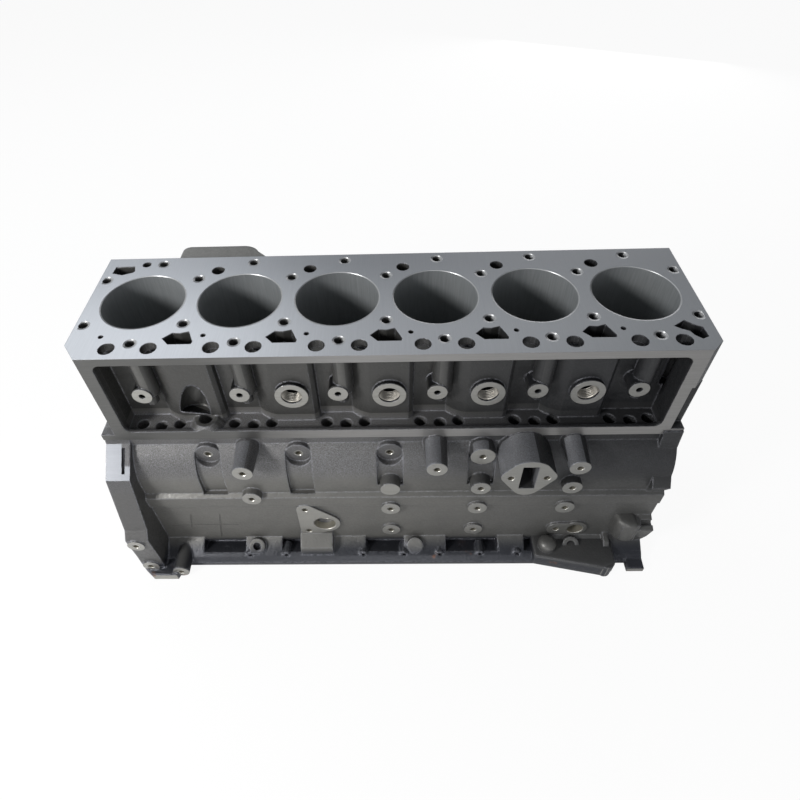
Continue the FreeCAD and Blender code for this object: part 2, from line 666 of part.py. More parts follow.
front_corner = prism("front_corner", "xy", "flange_foot + 10", "deck_height - flange_foot - 9", [
    ("-1", "-front_wall - 1"),
    ("19", "-front_wall - 1"),
    ("0", "-front_wall + 24"),
    ("-1", "-front_wall + 24"),
])
rear_corner = slab("rear_corner", f"{LENGTH} - 17", "-front_wall - 1", "flange_foot + 10", "18", "14",
                   "deck_height - flange_foot - 71")
rear_bevel = prism("rear_bevel", "xy", "deck_height - 62", "63", [
    (f"{LENGTH} - 15", "-front_wall - 1"),
    (f"{LENGTH} + 1", "-front_wall - 1"),
    (f"{LENGTH} + 1", "-front_wall + 15"),
])
pad_slot = prism("pad_slot", "yz", "21", "4", [
    ("-front_wall - 2", "flange_foot - 14"),
    ("-front_wall - 9", "flange_foot - 6"),
    ("-front_wall - 33", "flange_foot - 30"),
    ("-front_wall - 26", "flange_foot - 38"),
])
cored = cut("cored_block", casting, group("cores", [chamber_void, cap_room, cooler_room, front_corner,
                                                    rear_corner, rear_bevel, pad_slot] + bays))

# Holes, in three lots whose members never meet each other.
deck_holes = []
for index in range(COUNT):
    x = cylinder_x(index)
    deck_holes.append(rod(f"bore_{index + 1}", "bore", "deck_height - bay_roof + 2", x, "0", "bay_roof - 1"))
    for line, side in (("-outer_bolt_line", "front"), ("outer_bolt_line", "back")):
        deck_holes.append(rod(f"head_bolt_{side}_{index + 1}", "head_bolt", "head_bolt_deep",
                              f"{x} + outer_bolt_shift", line, "deck_height - head_bolt_deep"))
    for shift, order in (("- pushrod_shift_1", "a"), ("+ pushrod_shift_2", "b")):
        deck_holes.append(rod(f"pushrod_{index + 1}{order}", "pushrod_hole", "chamber_roof + 2",
                              f"{x} {shift}", "-tappet_line", "deck_height - chamber_roof - 1",
                              sides=DRILL_SIDES))
    deck_holes.append(rod(f"oil_{index + 1}", "oil_hole", "30", f"{x} - oil_shift", "-oil_line",
                          "deck_height - 30", sides=SCREW_SIDES))
for index in range(COUNT + 1):
    x = f"first_bore + pitch * {index - 0.5}"
    for line, side in (("-inner_bolt_line", "front"), ("inner_bolt_line", "back")):
        deck_holes.append(rod(f"web_bolt_{side}_{index + 1}", "head_bolt", "head_bolt_deep", x, line,
                              "deck_height - head_bolt_deep"))
for index in range(COUNT - 1):
    x = cylinder_x(index)
    deck_holes.append(rod(f"coolant_{index + 1}", "coolant_hole", "coolant_deep", f"{x} + coolant_shift",
                          "coolant_line", "deck_height - coolant_deep", sides=DRILL_SIDES))
    web = f"first_bore + pitch * {index + 0.5}"
    deck_holes.append(prism(f"window_{index + 1}", "xy", "deck_height - coolant_deep", "coolant_deep + 1", [
        (f"{web} - 19", "-69"),
        (f"{web} - 10", "-79"),
        (f"{web} + 17", "-79"),
        (f"{web} + 18", "-75"),
        (f"{web} + 10", "-57"),
        (f"{web}", "-60"),
        (f"{web} - 9", "-59"),
    ]))
deck_holes.append(prism("end_window", "xy", "deck_height - coolant_deep", "coolant_deep + 1", [
    ("695", "-62"),
    ("702", "-67"),
    ("710", "-71"),
    ("713", "-78"),
    ("720", "-84"),
    ("728", "-80"),
    ("727", "-64"),
    ("720", "-61"),
    ("710", "-52"),
]))
deck_holes.append(prism("corner_window", "xy", "deck_height - coolant_deep", "coolant_deep + 1", [
    ("12", "59"),
    ("26", "55"),
    ("39", "60"),
    ("41", "63"),
    ("38", "74"),
    ("13", "73"),
]))
deck_holes.append(rod("locating_hole", "head_bolt", "16", "53", "outer_bolt_line", "deck_height - 16"))

side_holes = []
for name, diameter, x, z, face in BOSSES:
    if name != UNDRILLED:
        side_holes.append(rod("screw_" + name, "boss_screw", "boss_screw_deep", x, f"-{face} - 1", z, "y",
                              SCREW_SIDES))
side_holes.append(rod("gallery_hole", "22", "36", "638.5", "-low_boss_face - 1", "-low_boss_drop", "y"))
for number in range(3):
    side_holes.append(rod(f"channel_screw_{number + 1}", "boss_screw", "20",
                          f"first_channel + {number} * pitch", "-pad_face - 1", "pad_axis", "y", SCREW_SIDES))
for number, (x, z, face, length) in enumerate(FOOT_BOSSES, 1):
    side_holes.append(rod(f"foot_screw_{number}", "boss_screw", "16", x, f"-{face} - 1", z, "y",
                          SCREW_SIDES))
for number, x in enumerate(KNOBS, 1):
    side_holes.append(rod(f"knob_screw_{number}", "knob_screw", "10", x, "-knob_face - 1", "-flare_foot",
                          "y", SCREW_SIDES))
for number, x in enumerate(SLANTED, 1):
    if number != 2:
        side_holes.append(rod(f"slanted_hole_{number}", "slanted_hole", "14", x, "-skirt_wall - 8",
                              "-flare_foot + 6", "slant", DRILL_SIDES))
for number, x in enumerate(MOUNT_PADS, 1):
    for order, (dx, dz) in enumerate(((14, 4), (70, 4), (14, 46), (70, 46)), 1):
        side_holes.append(rod(f"mount_screw_{number}_{order}", "mount_screw", "14", x + dx,
                              "mount_face - 13", dz, "y", SCREW_SIDES))
side_holes.append(rod("outlet_hole", "outlet_bore", "30", cylinder_x(COUNT - 1), "outlet_face - 29",
                      "outlet_height", "y", CUP_SIDES))
for side in (-1, 1):
    side_holes.append(rod("pump_screw_left" if side < 0 else "pump_screw_right", "boss_screw", "24",
                          f"pump_x + {side} * pump_screw_half", "-pump_face - 1", "pump_z", "y"))
side_holes.append(slab("pump_slot", "pump_x - pump_slot / 2", "-pump_face - 1",
                       "pump_z - pump_slot_tall / 2", "pump_slot", "pump_face - cam_line - 20",
                       "pump_slot_tall"))
side_holes.append(rod("corner_hole", "31", "30", "275", "-low_boss_face - 1", "14", "y"))
for number, height in enumerate(("51", "-6"), 1):
    side_holes.append(rod(f"corner_screw_{number}", "boss_screw", "20", "250", "-low_boss_face - 1",
                          height, "y", SCREW_SIDES))
for index in range(COUNT):
    x = cylinder_x(index)
    top = "deck_height - chamber_floor - cam_height + 2"
    for shift, order in (("- pushrod_shift_1", "a"), ("+ pushrod_shift_2", "b")):
        side_holes.append(rod(f"tappet_{index + 1}{order}", "tappet_bore", top, f"{x} {shift}",
                              "-tappet_line", "cam_height", sides=DRILL_SIDES))
    side_holes.append(rod(f"drain_{index + 1}", "tappet_bore", top, f"{x} + outer_bolt_shift",
                          "-drain_line", "cam_height", sides=DRILL_SIDES))
    side_holes.append(rod(f"cover_screw_{index + 1}", "cover_screw", "16", x, "-cover_boss_face - 1",
                          "deck_height - cover_boss_drop", "y"))
    if 0 < index < COUNT - 1:
        side_holes.append(rod(f"port_{index + 1}", "port_bore", "port_face - chamber_back + 14",
                              f"{x} + panel_shift", "-port_face - 1", "deck_height - port_drop", "y"))
side_holes.append(rod("drain", "drain_hole", "deck_height - chamber_floor - cam_height + 12", "drain_x",
                      "-tappet_line", "cam_height"))

line_holes = [
    rod("crank_bore", "main_bore", f"{LENGTH} + 2", "-1", "0", "0", "x"),
    rod("cam_bore", "cam_bore", f"{LENGTH} + 2", "-1", "-cam_line", "cam_height", "x"),
    rod("bushing_seat", "cam_bush", "cam_bush_deep + 1", "-1", "-cam_line", "cam_height", "x"),
    rod("cam_plug_seat", "cam_plug", "cam_plug_deep + 1", f"{LENGTH} - cam_plug_deep", "-cam_line",
        "cam_height", "x"),
]
for index in range(COUNT + 1):
    for side in (-1, 1):
        line_holes.append(rod(f"cap_thread_{index + 1}{'ab'[side > 0]}", "cap_bolt + 2 * fit",
                              "cap_bolt_grip + 5", f"{bulkhead_x(index)} + bulkhead / 2",
                              f"{side} * cap_bolt_line", "0", sides=SCREW_SIDES))
# Screw holes of the end faces as (y, z), and of the oil pan face along X.
FRONT_SCREWS = [(-85, 290), (70, 290), (-70, 200), (75, 185), (-132, 72), (-152, 5), (-150, -40), (50, 110),
                (122, 30), (128, -40)]
REAR_SCREWS = [(-78, 290), (70, 290), (-70, 190), (100, 175), (-128, 98), (-138, 20), (-150, -40), (0, 90),
               (128, 20), (130, -40)]
RAIL_SCREWS = [36, 118, 186, 296, 360, 474, 530, 660]
for number, (y, z) in enumerate(FRONT_SCREWS, 1):
    line_holes.append(rod(f"front_screw_{number}", "boss_screw", "end_screw_deep + 1", "-1", y, z, "x",
                          SCREW_SIDES))
for number, (y, z) in enumerate(REAR_SCREWS, 1):
    line_holes.append(rod(f"rear_screw_{number}", "boss_screw", "end_screw_deep + 1",
                          f"{LENGTH} - end_screw_deep", y, z, "x", SCREW_SIDES))
for number, x in enumerate(RAIL_SCREWS, 1):
    for side, y in (("front", "-front_rail + 21"), ("back", "back_rail - 15")):
        line_holes.append(rod(f"rail_screw_{side}_{number}", "boss_screw", "rail_screw_deep + 1", x, y,
                              "-rail_drop - 1", sides=SCREW_SIDES))
for end, x in (("front", "-1"), ("rear", f"{LENGTH} - gallery_plug_deep")):
    line_holes.append(rod(f"gallery_bore_{end}", "gallery_plug", "gallery_plug_deep + 1", x, "gallery_line",
                          "gallery_height", "x"))
line_holes.append(rod("rear_plug_bore", "core_plug", "core_plug_deep + 1", f"{LENGTH} - core_plug_deep",
                      "rear_plug_line", "core_plug_height", "x"))
plug_spots = [cylinder_x(index) for index in range(COUNT // 2, COUNT)]
for number, x in enumerate(plug_spots, 1):
    line_holes.append(rod(f"plug_bore_{number}", "core_plug", "core_plug_deep + 1", x,
                          "rear_wall - core_plug_deep", "core_plug_height", "y"))

bored = cut("bored_block", cored, group("deck_drilling", deck_holes))
drilled = cut("drilled_block", bored, group("side_drilling", side_holes))
lined = cut("lined_block", drilled, fuse("line_boring", line_holes))
block = doc.addObject("Part::Refine", "cylinder_block")
block.Source = lined

parts = {"cylinder_block": block}

# Bearing caps, each held by two bolts.
for index in range(COUNT + 1):
    blank = prism(f"cap_blank_{index + 1}", "yz", bulkhead_x(index), "bulkhead", [
        ("-cap_half", "0"),
        ("-cap_half", "-cap_seat"),
        ("-cap_foot", "-cap_seat"),
        ("-cap_foot + 10", "-cap_drop"),
        ("cap_foot - 10", "-cap_drop"),
        ("cap_foot", "-cap_seat"),
        ("cap_half", "-cap_seat"),
        ("cap_half", "0"),
    ])
    middle = f"{bulkhead_x(index)} + bulkhead / 2"
    holes = [rod(f"cap_bore_{index + 1}", "main_bore", "bulkhead + 2", f"{bulkhead_x(index)} - 1", "0", "0",
                 "x")]
    for side in (-1, 1):
        holes.append(rod(f"cap_hole_{index + 1}{'ab'[side > 0]}", "cap_bolt_hole", "cap_seat + 2", middle,
                         f"{side} * cap_bolt_line", "-cap_seat - 1", sides=SCREW_SIDES))
    parts[f"main_bearing_cap_{index + 1}"] = cut(f"main_bearing_cap_{index + 1}", blank,
                                                 group(f"cap_drilling_{index + 1}", holes))

bolts = []
for index in range(COUNT + 1):
    middle = f"{bulkhead_x(index)} + bulkhead / 2"
    for side in (-1, 1):
        tag = f"{index + 1}{'ab'[side > 0]}"
        shank = rod(f"bolt_shank_{tag}", "cap_bolt", "cap_seat + cap_bolt_grip", middle,
                    f"{side} * cap_bolt_line", "-cap_seat", sides=SCREW_SIDES)
        head = rod(f"bolt_head_{tag}", "bolt_head", "bolt_head_tall", middle, f"{side} * cap_bolt_line",
                   "-cap_seat - bolt_head_tall", sides=6)
        bolts.append(fuse(f"bolt_{tag}", [shank, head]))
parts["main_cap_bolts"] = group("main_cap_bolts", bolts)

# Pressed pieces: camshaft bushing and cup plugs.
parts["camshaft_bushing"] = cut(
    "camshaft_bushing",
    rod("bushing_blank", "cam_bush - 2 * fit", "cam_bush_deep - 1", "1", "-cam_line", "cam_height", "x"),
    rod("bushing_bore", "cam_bore", "cam_bush_deep", "0", "-cam_line", "cam_height", "x"))


def cup(name, bore, deep, x, y, z, along, sides):
    """A thin cup whose closed end is at (x, y, z)."""
    shift = {axis: " + cup_wall" if axis == along else "" for axis in "xyz"}
    return cut(
        name,
        rod(name + "_blank", f"{bore} - 2 * fit", f"{deep} - cup_wall", x, y, z, along, sides),
        rod(name + "_hollow", f"{bore} - 2 * fit - 2 * cup_wall", deep, x + shift["x"], y + shift["y"],
            z + shift["z"], along, sides))


parts["camshaft_rear_plug"] = cup("camshaft_rear_plug", "cam_plug", "cam_plug_deep",
                                  f"{LENGTH} - cam_plug_deep", "-cam_line", "cam_height", "x", CUP_SIDES)
for number, x in enumerate(plug_spots, 1):
    parts[f"core_plug_{number}"] = cup(f"core_plug_{number}", "core_plug", "core_plug_deep", x,
                                       "rear_wall - core_plug_deep", "core_plug_height", "y", CUP_SIDES)
parts["rear_core_plug"] = cup("rear_core_plug", "core_plug", "core_plug_deep", f"{LENGTH} - core_plug_deep",
                              "rear_plug_line", "core_plug_height", "x", CUP_SIDES)
parts["gallery_rear_plug"] = cup("gallery_rear_plug", "gallery_plug", "gallery_plug_deep",
                                 f"{LENGTH} - gallery_plug_deep", "gallery_line", "gallery_height", "x",
                                 DRILL_SIDES)
parts["gallery_front_plug"] = cut(
    "gallery_front_plug",
    rod("front_plug_blank", "gallery_plug - 2 * fit", "gallery_plug_deep - cup_wall", "cup_wall",
        "gallery_line", "gallery_height", "x", DRILL_SIDES),
    rod("front_plug_hollow", "gallery_plug - 2 * fit - 2 * cup_wall", "gallery_plug_deep - 2 * cup_wall",
        "0", "gallery_line", "gallery_height", "x", DRILL_SIDES))
parts["jacket_drain_plug"] = fuse("jacket_drain_plug", [
    rod("drain_plug_shank", "outlet_bore - 2 * fit", "14", cylinder_x(COUNT - 1), "outlet_face - 14",
        "outlet_height", "y", CUP_SIDES),
    rod("drain_plug_head", "outlet_bore + 8", "8", cylinder_x(COUNT - 1), "outlet_face", "outlet_height",
        "y", 6),
])

doc.recompute()
for obj in doc.Objects:
    if "Invalid" in obj.State or "Error" in obj.State:
        raise RuntimeError(f"{obj.Name} did not build: {obj.State}")
for label, obj in parts.items():
    if obj.Shape.isNull() or not obj.Shape.isValid():
        raise RuntimeError(f"{label} has no valid solid")

os.makedirs("parts", exist_ok=True)
for label, obj in parts.items():
    obj.Label = label
    obj.Shape.exportStep(f"parts/{label}.step")
    print(label, len(obj.Shape.Solids), round(obj.Shape.Volume / 1000, 1), "cm3")
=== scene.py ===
import math

import bmesh
import bpy
from mathutils import Matrix, Vector


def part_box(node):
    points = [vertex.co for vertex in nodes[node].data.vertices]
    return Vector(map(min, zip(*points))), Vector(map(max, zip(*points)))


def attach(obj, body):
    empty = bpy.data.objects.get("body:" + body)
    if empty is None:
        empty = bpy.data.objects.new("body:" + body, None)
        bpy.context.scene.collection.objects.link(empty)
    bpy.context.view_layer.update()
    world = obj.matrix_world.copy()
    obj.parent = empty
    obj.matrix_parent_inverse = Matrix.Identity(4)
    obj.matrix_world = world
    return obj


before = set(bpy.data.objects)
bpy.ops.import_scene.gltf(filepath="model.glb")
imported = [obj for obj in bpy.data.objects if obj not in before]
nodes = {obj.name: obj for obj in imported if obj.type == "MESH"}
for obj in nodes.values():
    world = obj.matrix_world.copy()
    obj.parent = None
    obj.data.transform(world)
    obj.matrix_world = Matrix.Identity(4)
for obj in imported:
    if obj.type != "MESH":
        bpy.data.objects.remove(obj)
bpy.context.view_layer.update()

# Row frame in metres: X runs from the front face to the rear, Y = 0 is the plane of the bores with
# the camshaft side at -Y, and Z = 0 is the crankshaft axis.
BLOCK_LO, BLOCK_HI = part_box("cylinder_block")
DECK = BLOCK_HI.z
PAN = BLOCK_LO.z
LENGTH = BLOCK_HI.x
PITCH = 0.120
FIRST_BORE = 0.070
BORE_RADIUS = 0.051
MAIN_RADIUS = 0.044
HEAD_BOLT_RADIUS = 0.00575
SCREW_RADIUS = 0.004

# Machined faces of the two sides, by the Y at which they lie.
TAPPET_FACE = -0.102
COVER_BOSS_FACE = -0.091
CHANNEL_FACE = -0.106
BOSS_FACES = (-0.132, -0.135, -0.145, -0.150)
SMALL_FACES = (-0.118, -0.0875)
OUTERMOST_BOSS = -0.1705
COOLER_FACE = 0.1265
MOUNT_FACE = 0.129
# How far from its plane a surface still counts as the face, for large and for small faces.
LARGE_REACH = 0.0004
SMALL_REACH = 0.0003
# The share of a unit normal from which a surface counts as square to an axis.
SQUARE = 0.9

# Where the honed part of a bore ends below, how far round a bore its wall counts, and how far from
# the end faces the repeated masks stop.
BORE_LOW = 0.113
BORE_REACH = 0.0006
END_MARGIN = 0.005
# The sloped pad of the front end: the height of its step, and where it ends in x below and above.
PAD_STEP = 0.1502
PAD_ENDS = (0.0325, 0.0205)
# Half the width over which the coolant openings lie in the head face, and their end margin.
OPENINGS_HALF = 0.088
OPENINGS_MARGIN = 0.004
SKIRT_FACE = -0.128

# The tappet chamber: the Y it spans, a height below its floor, and where its plain walls begin.
CHAMBER_FRONT, CHAMBER_BACK = -0.098, -0.06
CHAMBER_LOW = 0.18
CHAMBER_WALLS = 0.2
# The neck below the chamber: heights over which its sandy skin begins, and the Y it lies outside.
NECK_FROM, NECK_FULL = 0.108, 0.135
NECK_WALL = -0.09

# Screw holes of the camshaft side as (x, z), and all its drilled holes as (x, z, radius).
SCREWS = [
    (0.185, 0.160), (0.430, 0.165), (0.6065, 0.165), (0.1816, 0.085), (0.491, 0.106),
    (0.611, 0.106), (0.491, 0.154), (0.371, 0.057), (0.491, 0.057), (0.611, 0.057),
    (0.371, -0.006), (0.491, -0.006), (0.611, -0.006), (0.131, 0.150), (0.251, 0.150),
    (0.371, 0.150), (0.5222, 0.152), (0.5668, 0.152), (0.250, 0.051), (0.250, -0.006),
    (0.012, 0.024), (0.014, -0.039), (0.058, -0.047),
]
FLANGE_HOLE = (0.275, 0.014, 0.0155)
DRILLED = [(x, z, SCREW_RADIUS) for x, z in SCREWS] + [FLANGE_HOLE, (0.6385, -0.006, 0.011)]
SINK_WIDTH = 0.0013
# Spot faces in the channel: the first one's x, their height and their radius.
CHANNEL_SPOTS = (0.131, 0.150, 0.0062)
# Upright barrels on the wall below the chamber as (x, half width).
BARRELS = [(0.185, 0.0135), (0.430, 0.0135), (0.491, 0.013), (0.5445, 0.035), (0.6065, 0.0135)]
# Strokes of two faint crosses on the skirt, each from (x, z) to (x, z).
CROSSES = [(0.047, 0.005, 0.146, 0.006), (0.083, 0.035, 0.075, 0.0), (0.125, 0.035, 0.114, -0.029)]
# Rows of round holes in the head face as (first x, y, hole radius, width of the chamfer).
RIMS = [
    (FIRST_BORE, 0, BORE_RADIUS, 0.0016),
    (FIRST_BORE + 0.006, 0.077, HEAD_BOLT_RADIUS, 0.0022),
    (FIRST_BORE - PITCH / 2, 0.0435, HEAD_BOLT_RADIUS, 0.0022),
]

# The two inputs and the result of a mix node, by the kind of value that it mixes.
MIX_SOCKETS = {"FLOAT": (2, 3, 0), "VECTOR": (4, 5, 1), "RGBA": (6, 7, 2)}
BEVEL_SAMPLES = 4


def linear(*rgb):
    """Screen colours from 0 to 255 as the linear values that shaders take."""
    return tuple(((c / 255 + 0.055) / 1.055) ** 2.4 if c > 10 else c / 255 / 12.92
                 for c in rgb) + (1,)


class Nodes:
    """A short way to write a node tree over the place and the facing of each point."""

    def __init__(self, name):
        self.material = bpy.data.materials.new(name)
        self.material.use_nodes = True
        self.tree = self.material.node_tree
        self.tree.nodes.clear()
        self.place = self.add("ShaderNodeTexCoord").outputs["Object"]
        self.facing = self.add("ShaderNodeNewGeometry").outputs["True Normal"]
        self.x, self.y, self.z = self.split(self.place)
        self.nx, self.ny, self.nz = self.split(self.facing)

    def add(self, kind, **settings):
        node = self.tree.nodes.new(kind)
        for key, value in settings.items():
            setattr(node, key, value)
        return node

    def set(self, socket, value):
        if isinstance(value, bpy.types.NodeSocket):
            self.tree.links.new(value, socket)
        else:
            socket.default_value = value

    def feed(self, node, *values):
        for socket, value in zip(node.inputs, values):
            self.set(socket, value)
        return node

    def split(self, vector):
        node = self.feed(self.add("ShaderNodeSeparateXYZ"), vector)
        return node.outputs[0], node.outputs[1], node.outputs[2]

    # Arithmetic.

    def math(self, operation, *values):
        return self.feed(self.add("ShaderNodeMath", operation=operation), *values).outputs[0]

    def chain(self, operation, first, *others):
        for other in others:
            first = self.math(operation, first, other)
        return first

    def plus(self, *values):
        return self.chain("ADD", *values)

    def minus(self, value, other):
        return self.math("SUBTRACT", value, other)

    def times(self, *values):
        return self.chain("MULTIPLY", *values)

    def size(self, value):
        return self.math("ABSOLUTE", value)

    def length(self, *values):
        return self.math("SQRT", self.plus(*[self.times(value, value) for value in values]))

    def repeated(self, value, start):
        """The signed way to the nearest of the places start, start + PITCH, and so on."""
        shifted = self.minus(value, start - PITCH / 2)
        return self.minus(self.math("FLOORED_MODULO", shifted, PITCH), PITCH / 2)

    # Masks, which are 1 inside and 0 outside.

    def above(self, value, limit):
        return self.math("GREATER_THAN", value, limit)

    def below(self, value, limit):
        return self.math("LESS_THAN", value, limit)

    def between(self, value, low, high):
        return self.all(self.above(value, low), self.below(value, high))

    def near(self, value, target, reach):
        return self.math("COMPARE", value, target, reach)

    def all(self, *masks):
        return self.chain("MULTIPLY", *masks)

    def any(self, *masks):
        return self.chain("MAXIMUM", *masks)

    def no(self, mask):
        return self.math("SUBTRACT", 1.0, mask)

    def ramp(self, value, low, high, out_low=0.0, out_high=1.0):
        node = self.add("ShaderNodeMapRange", interpolation_type="SMOOTHSTEP")
        return self.feed(node, value, low, high, out_low, out_high).outputs[0]

    def noise(self, scale, detail, rough, stretch=None):
        node = self.add("ShaderNodeTexNoise")
        vector = self.place
        if stretch:
            mapping = self.add("ShaderNodeMapping")
            self.set(mapping.inputs["Vector"], vector)
            mapping.inputs["Scale"].default_value = stretch
            vector = mapping.outputs[0]
        self.set(node.inputs["Vector"], vector)
        node.inputs["Scale"].default_value = scale
        node.inputs["Detail"].default_value = detail
        node.inputs["Roughness"].default_value = rough
        return node.outputs["Fac"]

    # Mixtures of numbers, normals and colours.

    def mixture(self, kind, factor, first, second):
        node = self.add("ShaderNodeMix", data_type=kind)
        first_input, second_input, result = MIX_SOCKETS[kind]
        self.set(node.inputs["Factor"], factor)
        self.set(node.inputs[first_input], first)
        self.set(node.inputs[second_input], second)
        return node.outputs[result]

    def mix(self, factor, first, second):
        return self.mixture("RGBA", factor, first, second)

    def blend(self, factor, first, second):
        return self.mixture("FLOAT", factor, first, second)

    def tint(self, colour, mask, share, over):
        """The colour with a share of another one laid over it where the mask is."""
        return self.mix(self.times(mask, share), colour, over)

    # Shapes that only the shading has.

    def sink(self, across, rise, radius, *limits):
        """The way from a hole's axis, a mask out to the radius, and the pull back to the axis.

        The pull times across and times rise points to the axis, with length 1 in the mask."""
        reach = self.length(across, rise)
        mask = self.all(self.below(reach, radius), *limits)
        return reach, mask, self.math("DIVIDE", mask, self.times(reach, -1.0))

    def tilted(self, mask, x, y, z, normal):
        """The normal with (x, y, z) in its stead where the mask is."""
        slope = self.feed(self.add("ShaderNodeCombineXYZ"), x, y, z)
        turn = self.add("ShaderNodeVectorTransform", vector_type="NORMAL", convert_from="OBJECT",
                        convert_to="WORLD")
        self.set(turn.inputs[0], slope.outputs[0])
        return self.mixture("VECTOR", mask, normal, turn.outputs[0])

    def rounded(self, radius):
        """The normal as if edges were rounded, and a mask of those edges."""
        node = self.add("ShaderNodeBevel", samples=BEVEL_SAMPLES)
        self.set(node.inputs["Radius"], radius)
        meet = self.add("ShaderNodeVectorMath", operation="DOT_PRODUCT")
        self.feed(meet, node.outputs[0], self.facing)
        return node.outputs[0], self.ramp(meet.outputs["Value"], 0.97, 0.86)

    def finish(self, colour, rough, metallic, height, bump, distance, normal, tilts=()):
        """The material from its parts. A tilt is a mask and the x, y and z of a normal."""
        shader = self.add("ShaderNodeBsdfPrincipled")
        self.set(shader.inputs["Base Color"], colour)
        self.set(shader.inputs["Roughness"], rough)
        self.set(shader.inputs["Metallic"], metallic)
        for tilt in tilts:
            normal = self.tilted(*tilt, normal)
        relief = self.add("ShaderNodeBump")
        self.set(relief.inputs["Strength"], bump)
        relief.inputs["Distance"].default_value = distance
        self.set(relief.inputs["Height"], height)
        self.set(relief.inputs["Normal"], normal)
        self.set(shader.inputs["Normal"], relief.outputs[0])
        output = self.add("ShaderNodeOutputMaterial")
        self.set(output.inputs["Surface"], shader.outputs[0])
        return self.material


def milled_faces(n, faces_out):
    """The flange of the tappet chamber, and all the faces but the head face that a mill cut."""
    ends = n.any(n.all(n.below(n.nx, -SQUARE), n.below(n.x, LARGE_REACH)),
                 n.all(n.above(n.nx, SQUARE), n.above(n.x, LENGTH - LARGE_REACH)))
    pan = n.all(n.below(n.nz, -SQUARE), n.below(n.z, PAN + LARGE_REACH))
    flange = n.all(faces_out, n.near(n.y, TAPPET_FACE, LARGE_REACH), n.above(n.z, 0.17))
    boss_faces = n.all(faces_out, n.any(n.below(n.y, OUTERMOST_BOSS),
                                        *[n.near(n.y, face, SMALL_REACH) for face in BOSS_FACES]))
    small_faces = n.all(faces_out, n.above(n.z, 0.13),
                        n.any(n.near(n.y, COVER_BOSS_FACE, LARGE_REACH),
                              *[n.near(n.y, face, SMALL_REACH) for face in SMALL_FACES]))
    spot_x, spot_z, spot_radius = CHANNEL_SPOTS
    from_spot = n.length(n.repeated(n.x, spot_x), n.minus(n.z, spot_z))
    channel_spots = n.all(faces_out, n.near(n.y, CHANNEL_FACE, SMALL_REACH),
                          n.below(from_spot, spot_radius))
    faces_back = n.above(n.ny, 0.95)
    cooler_face = n.all(faces_back, n.above(n.y, COOLER_FACE), n.above(n.z, 0.09))
    mount_faces = n.all(faces_back, n.near(n.y, MOUNT_FACE, LARGE_REACH), n.below(n.z, 0.06))
    return flange, n.any(flange, boss_faces, small_faces, channel_spots, cooler_face, mount_faces,
                         pan, ends)


def drilled_holes(n, faces_out):
    """Walls of the holes in the camshaft side, their sunk rims, and the slope of the rims."""
    insides, rims, slopes_x, slopes_z = [], [], [], []
    for x, z, radius in DRILLED:
        across = n.minus(n.x, x)
        rise = n.minus(n.z, z)
        reach, rim, pull = n.sink(across, rise, radius + SINK_WIDTH)
        insides.append(n.below(reach, radius + SMALL_REACH))
        rims.append(rim)
        slopes_x.append(n.times(across, pull))
        slopes_z.append(n.times(rise, pull))
    sideways = n.below(n.size(n.ny), 0.5)
    walls = n.all(n.any(*insides), sideways, n.below(n.y, -0.08))
    return walls, n.all(n.any(*rims), faces_out), (n.plus(*slopes_x), -0.8, n.plus(*slopes_z))


def head_face_rims(n, deck, inner):
    """Chamfers of the bores and bolt holes in the head face, and their slope."""
    rims, slopes_x, slopes_y = [], [], []
    for start, line, radius, width in RIMS:
        across = n.repeated(n.x, start)
        side = n.math("SIGN", n.y) if line else 1.0
        out = n.minus(n.times(n.y, side), line)
        _, rim, pull = n.sink(across, out, radius + width, n.above(n.z, DECK - LARGE_REACH))
        rims.append(rim)
        slopes_x.append(n.times(across, pull))
        slopes_y.append(n.times(out, side, pull))
    return n.all(n.any(*rims), deck, inner), (n.plus(*slopes_x), n.plus(*slopes_y), 0.6)


def lit_bolt_hole_walls(n, upright):
    """Walls of the bolt holes near the head face, on the side that faces the front and the light,
    for a painted highlight.
    """
    walls = [n.below(n.length(n.repeated(n.x, start), n.minus(n.size(n.y), line)),
                     radius + SMALL_REACH) for start, line, radius, _ in RIMS[1:]]
    return n.all(n.any(*walls), upright, n.above(n.z, 0.24), n.ramp(n.nx, -0.3, -0.8))


def lit_barrel_sides(n):
    """The upright barrels on their sides that face the light, for a painted highlight, kept apart
    from the slanted wall behind them.
    """
    wide = n.any(*[n.near(n.x, x, reach) for x, reach in BARRELS])
    outside = n.below(n.minus(n.y, n.times(n.z, 0.9)), -0.2537)
    return n.all(wide, n.between(n.z, 0.132, 0.2), n.below(n.y, -0.104), outside,
                 n.below(n.nx, 0.3))


def cross_marks(n):
    """Two faint cross marks on the skirt near the front."""
    strokes = []
    for x0, z0, x1, z1 in CROSSES:
        run = math.hypot(x1 - x0, z1 - z0)
        way_x, way_z = (x1 - x0) / run, (z1 - z0) / run
        across, rise = n.minus(n.x, x0), n.minus(n.z, z0)
        forth = n.plus(n.times(across, way_x), n.times(rise, way_z))
        off = n.plus(n.times(across, -way_z), n.times(rise, way_x))
        strokes.append(n.all(n.between(forth, 0.0, run), n.ramp(n.size(off), 0.0014, 0.0006)))
    return n.all(n.any(*strokes), n.near(n.y, SKIRT_FACE, 0.002))


